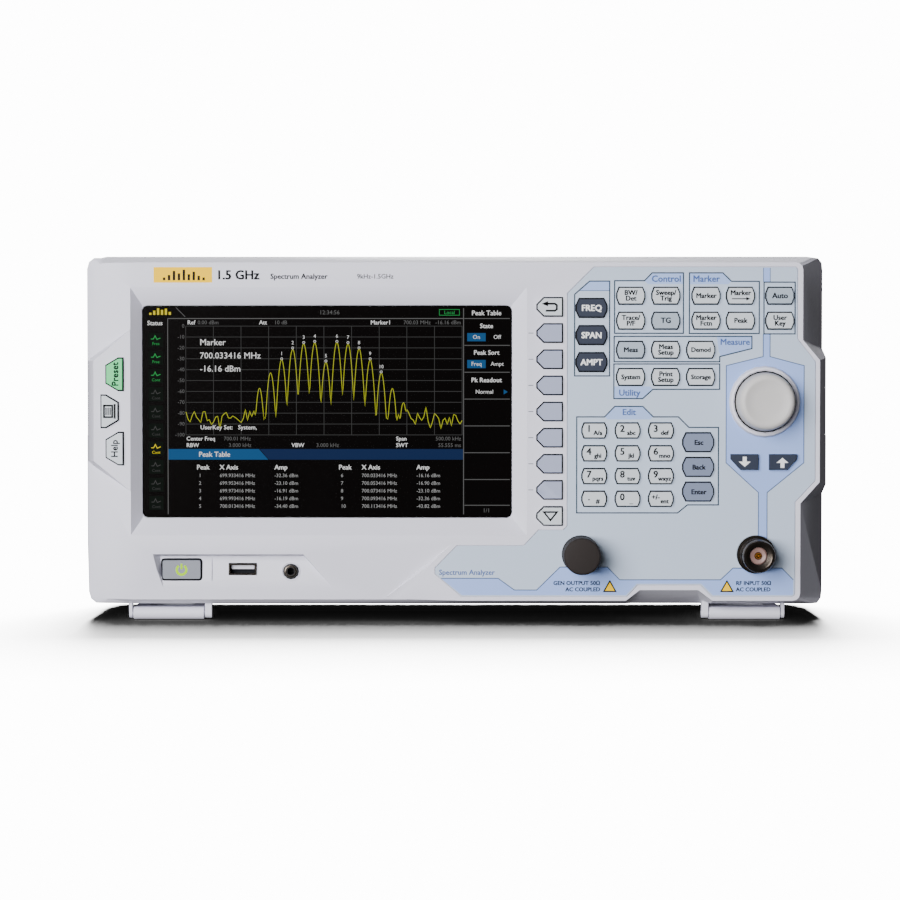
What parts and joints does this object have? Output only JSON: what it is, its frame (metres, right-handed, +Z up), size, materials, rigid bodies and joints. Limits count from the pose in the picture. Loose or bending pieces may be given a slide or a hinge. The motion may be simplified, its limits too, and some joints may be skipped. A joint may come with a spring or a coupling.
{
  "type": "spectrum analyzer",
  "caption": "Bench spectrum analyzer with a recessed display, a field of keys, a tuning knob, coaxial connectors, fold-out front legs and a pull-up carry handle.",
  "frame": {"origin": "under the middle of the bounding box, at the bottom of the feet", "axes": "+X to the right as the user sees the front, the front faces -Y, +Z up"},
  "size_m": [0.3616, 0.128, 0.1788],
  "materials": {
    "bezel_plastic": "light grey moulded plastic with a fine texture",
    "case_plastic": "mid grey moulded plastic with a fine texture",
    "printed_film": "pale blue-grey printed film, satin",
    "pale_key": "light grey silicone-backed key cap",
    "grey_key": "grey-blue key cap",
    "dark_key": "dark blue-grey key cap",
    "green_key": "green key cap",
    "display_glass": "dark display glass",
    "zinc_steel": "zinc-plated sheet",
    "nickel": "nickel-plated brass",
    "circuit_board": "green solder mask on glass-fibre laminate",
    "black_plastic": "black moulded plastic",
    "rubber": "black moulded rubber"
  },
  "bodies": {
    "analyzer": {"front_bezel": "bezel_plastic", "front_overlay": "printed_film", "display_window": "display_glass", "lcd_module": "zinc_steel", "rotary_encoder": "nickel", "n_connectors": "nickel", "usb_host_socket": "nickel", "headphone_jack": "black_plastic", "keypad_boards": "circuit_board", "rear_housing": "case_plastic", "inner_chassis": "zinc_steel", "main_board": "circuit_board", "rf_shield": "zinc_steel", "power_supply": "circuit_board", "fan_frame": "black_plastic", "bnc_sockets": "nickel", "data_sockets": "nickel", "mains_inlet": "black_plastic", "rear_foot_left": "rubber", "rear_foot_right": "rubber"},
    "key_preset": {"key_preset": "green_key"},
    "key_print": {"key_print": "pale_key"},
    "key_help": {"key_help": "pale_key"},
    "key_frequency": {"key_frequency": "dark_key"},
    "key_span": {"key_span": "dark_key"},
    "key_amplitude": {"key_amplitude": "dark_key"},
    "key_escape": {"key_escape": "grey_key"},
    "key_back": {"key_back": "grey_key"},
    "key_enter": {"key_enter": "grey_key"},
    "key_auto": {"key_auto": "grey_key"},
    "key_user": {"key_user": "pale_key"},
    "key_down": {"key_down": "dark_key"},
    "key_up": {"key_up": "dark_key"},
    "soft_key_return": {"soft_key_return": "pale_key"},
    "soft_key_1": {"soft_key_1": "grey_key"},
    "soft_key_2": {"soft_key_2": "grey_key"},
    "soft_key_3": {"soft_key_3": "grey_key"},
    "soft_key_4": {"soft_key_4": "grey_key"},
    "soft_key_5": {"soft_key_5": "grey_key"},
    "soft_key_6": {"soft_key_6": "grey_key"},
    "soft_key_7": {"soft_key_7": "grey_key"},
    "soft_key_page": {"soft_key_page": "pale_key"},
    "keys_control_upper": {"keys_control_upper": "pale_key"},
    "keys_control_lower": {"keys_control_lower": "pale_key"},
    "keys_marker_upper": {"keys_marker_upper": "pale_key"},
    "keys_marker_lower": {"keys_marker_lower": "pale_key"},
    "keys_measure_row": {"keys_measure_row": "pale_key"},
    "keys_utility_row": {"keys_utility_row": "pale_key"},
    "keys_1_2_3": {"keys_1_2_3": "pale_key"},
    "keys_4_5_6": {"keys_4_5_6": "pale_key"},
    "keys_7_8_9": {"keys_7_8_9": "pale_key"},
    "keys_point_0_sign": {"keys_point_0_sign": "pale_key"},
    "power_button": {"power_button": "grey_key"},
    "tuning_knob": {"tuning_knob": "bezel_plastic"},
    "fan_rotor": {"fan_rotor": "black_plastic"},
    "generator_cap": {"generator_cap": "black_plastic"},
    "dust_filter": {"dust_filter": "black_plastic"},
    "carry_handle": {"carry_handle": "case_plastic"},
    "left_leg": {"left_leg": "bezel_plastic"},
    "right_leg": {"right_leg": "bezel_plastic"}
  },
  "joints": [
    {"name": "key_preset_press", "type": "slide", "parent": "analyzer", "child": "key_preset", "axis": [0, 1, 0], "range_m": [0, 0.0015], "stiffness_N_per_m": 600, "springref_m": -0.001},
    {"name": "key_print_press", "type": "slide", "parent": "analyzer", "child": "key_print", "axis": [0, 1, 0], "range_m": [0, 0.0015], "stiffness_N_per_m": 600, "springref_m": -0.001},
    {"name": "key_help_press", "type": "slide", "parent": "analyzer", "child": "key_help", "axis": [0, 1, 0], "range_m": [0, 0.0015], "stiffness_N_per_m": 600, "springref_m": -0.001},
    {"name": "key_frequency_press", "type": "slide", "parent": "analyzer", "child": "key_frequency", "axis": [0, 1, 0], "range_m": [0, 0.0015], "stiffness_N_per_m": 600, "springref_m": -0.001},
    {"name": "key_span_press", "type": "slide", "parent": "analyzer", "child": "key_span", "axis": [0, 1, 0], "range_m": [0, 0.0015], "stiffness_N_per_m": 600, "springref_m": -0.001},
    {"name": "key_amplitude_press", "type": "slide", "parent": "analyzer", "child": "key_amplitude", "axis": [0, 1, 0], "range_m": [0, 0.0015], "stiffness_N_per_m": 600, "springref_m": -0.001},
    {"name": "key_escape_press", "type": "slide", "parent": "analyzer", "child": "key_escape", "axis": [0, 1, 0], "range_m": [0, 0.0015], "stiffness_N_per_m": 600, "springref_m": -0.001},
    {"name": "key_back_press", "type": "slide", "parent": "analyzer", "child": "key_back", "axis": [0, 1, 0], "range_m": [0, 0.0015], "stiffness_N_per_m": 600, "springref_m": -0.001},
    {"name": "key_enter_press", "type": "slide", "parent": "analyzer", "child": "key_enter", "axis": [0, 1, 0], "range_m": [0, 0.0015], "stiffness_N_per_m": 600, "springref_m": -0.001},
    {"name": "key_auto_press", "type": "slide", "parent": "analyzer", "child": "key_auto", "axis": [0, 1, 0], "range_m": [0, 0.0015], "stiffness_N_per_m": 600, "springref_m": -0.001},
    {"name": "key_user_press", "type": "slide", "parent": "analyzer", "child": "key_user", "axis": [0, 1, 0], "range_m": [0, 0.0015], "stiffness_N_per_m": 600, "springref_m": -0.001},
    {"name": "key_down_press", "type": "slide", "parent": "analyzer", "child": "key_down", "axis": [0, 1, 0], "range_m": [0, 0.0015], "stiffness_N_per_m": 600, "springref_m": -0.001},
    {"name": "key_up_press", "type": "slide", "parent": "analyzer", "child": "key_up", "axis": [0, 1, 0], "range_m": [0, 0.0015], "stiffness_N_per_m": 600, "springref_m": -0.001},
    {"name": "soft_key_return_press", "type": "slide", "parent": "analyzer", "child": "soft_key_return", "axis": [0, 1, 0], "range_m": [0, 0.0015], "stiffness_N_per_m": 600, "springref_m": -0.001},
    {"name": "soft_key_1_press", "type": "slide", "parent": "analyzer", "child": "soft_key_1", "axis": [0, 1, 0], "range_m": [0, 0.0015], "stiffness_N_per_m": 600, "springref_m": -0.001},
    {"name": "soft_key_2_press", "type": "slide", "parent": "analyzer", "child": "soft_key_2", "axis": [0, 1, 0], "range_m": [0, 0.0015], "stiffness_N_per_m": 600, "springref_m": -0.001},
    {"name": "soft_key_3_press", "type": "slide", "parent": "analyzer", "child": "soft_key_3", "axis": [0, 1, 0], "range_m": [0, 0.0015], "stiffness_N_per_m": 600, "springref_m": -0.001},
    {"name": "soft_key_4_press", "type": "slide", "parent": "analyzer", "child": "soft_key_4", "axis": [0, 1, 0], "range_m": [0, 0.0015], "stiffness_N_per_m": 600, "springref_m": -0.001},
    {"name": "soft_key_5_press", "type": "slide", "parent": "analyzer", "child": "soft_key_5", "axis": [0, 1, 0], "range_m": [0, 0.0015], "stiffness_N_per_m": 600, "springref_m": -0.001},
    {"name": "soft_key_6_press", "type": "slide", "parent": "analyzer", "child": "soft_key_6", "axis": [0, 1, 0], "range_m": [0, 0.0015], "stiffness_N_per_m": 600, "springref_m": -0.001},
    {"name": "soft_key_7_press", "type": "slide", "parent": "analyzer", "child": "soft_key_7", "axis": [0, 1, 0], "range_m": [0, 0.0015], "stiffness_N_per_m": 600, "springref_m": -0.001},
    {"name": "soft_key_page_press", "type": "slide", "parent": "analyzer", "child": "soft_key_page", "axis": [0, 1, 0], "range_m": [0, 0.0015], "stiffness_N_per_m": 600, "springref_m": -0.001},
    {"name": "keys_control_upper_press", "type": "slide", "parent": "analyzer", "child": "keys_control_upper", "axis": [0, 1, 0], "range_m": [0, 0.0015], "stiffness_N_per_m": 600, "springref_m": -0.001},
    {"name": "keys_control_lower_press", "type": "slide", "parent": "analyzer", "child": "keys_control_lower", "axis": [0, 1, 0], "range_m": [0, 0.0015], "stiffness_N_per_m": 600, "springref_m": -0.001},
    {"name": "keys_marker_upper_press", "type": "slide", "parent": "analyzer", "child": "keys_marker_upper", "axis": [0, 1, 0], "range_m": [0, 0.0015], "stiffness_N_per_m": 600, "springref_m": -0.001},
    {"name": "keys_marker_lower_press", "type": "slide", "parent": "analyzer", "child": "keys_marker_lower", "axis": [0, 1, 0], "range_m": [0, 0.0015], "stiffness_N_per_m": 600, "springref_m": -0.001},
    {"name": "keys_measure_row_press", "type": "slide", "parent": "analyzer", "child": "keys_measure_row", "axis": [0, 1, 0], "range_m": [0, 0.0015], "stiffness_N_per_m": 600, "springref_m": -0.001},
    {"name": "keys_utility_row_press", "type": "slide", "parent": "analyzer", "child": "keys_utility_row", "axis": [0, 1, 0], "range_m": [0, 0.0015], "stiffness_N_per_m": 600, "springref_m": -0.001},
    {"name": "keys_1_2_3_press", "type": "slide", "parent": "analyzer", "child": "keys_1_2_3", "axis": [0, 1, 0], "range_m": [0, 0.0015], "stiffness_N_per_m": 600, "springref_m": -0.001},
    {"name": "keys_4_5_6_press", "type": "slide", "parent": "analyzer", "child": "keys_4_5_6", "axis": [0, 1, 0], "range_m": [0, 0.0015], "stiffness_N_per_m": 600, "springref_m": -0.001},
    {"name": "keys_7_8_9_press", "type": "slide", "parent": "analyzer", "child": "keys_7_8_9", "axis": [0, 1, 0], "range_m": [0, 0.0015], "stiffness_N_per_m": 600, "springref_m": -0.001},
    {"name": "keys_point_0_sign_press", "type": "slide", "parent": "analyzer", "child": "keys_point_0_sign", "axis": [0, 1, 0], "range_m": [0, 0.0015], "stiffness_N_per_m": 600, "springref_m": -0.001},
    {"name": "power_button_press", "type": "slide", "parent": "analyzer", "child": "power_button", "axis": [0, 1, 0], "range_m": [0, 0.0015], "stiffness_N_per_m": 600, "springref_m": -0.001},
    {"name": "knob_turn", "type": "hinge", "parent": "analyzer", "child": "tuning_knob", "pos_m": [0.1497, -0.045, 0.1071], "axis": [0, -1, 0], "continuous": true},
    {"name": "fan_spin", "type": "hinge", "parent": "analyzer", "child": "fan_rotor", "pos_m": [-0.12, 0.04, 0.11], "axis": [0, 1, 0], "continuous": true},
    {"name": "cap_pull", "type": "slide", "parent": "analyzer", "child": "generator_cap", "axis": [0, -1, 0], "range_m": [0, 0.02]},
    {"name": "filter_draw", "type": "slide", "parent": "analyzer", "child": "dust_filter", "axis": [-1, 0, 0], "range_m": [0, 0.07]},
    {"name": "handle_lift", "type": "slide", "parent": "analyzer", "child": "carry_handle", "axis": [0, 0, 1], "range_m": [0, 0.03]},
    {"name": "left_leg_fold", "type": "hinge", "parent": "analyzer", "child": "left_leg", "pos_m": [-0.1414, -0.032, 0.0031], "axis": [-1, 0, 0], "range_deg": [0, 100]},
    {"name": "right_leg_fold", "type": "hinge", "parent": "analyzer", "child": "right_leg", "pos_m": [0.1414, -0.032, 0.0031], "axis": [-1, 0, 0], "range_deg": [0, 100]}
  ]
}
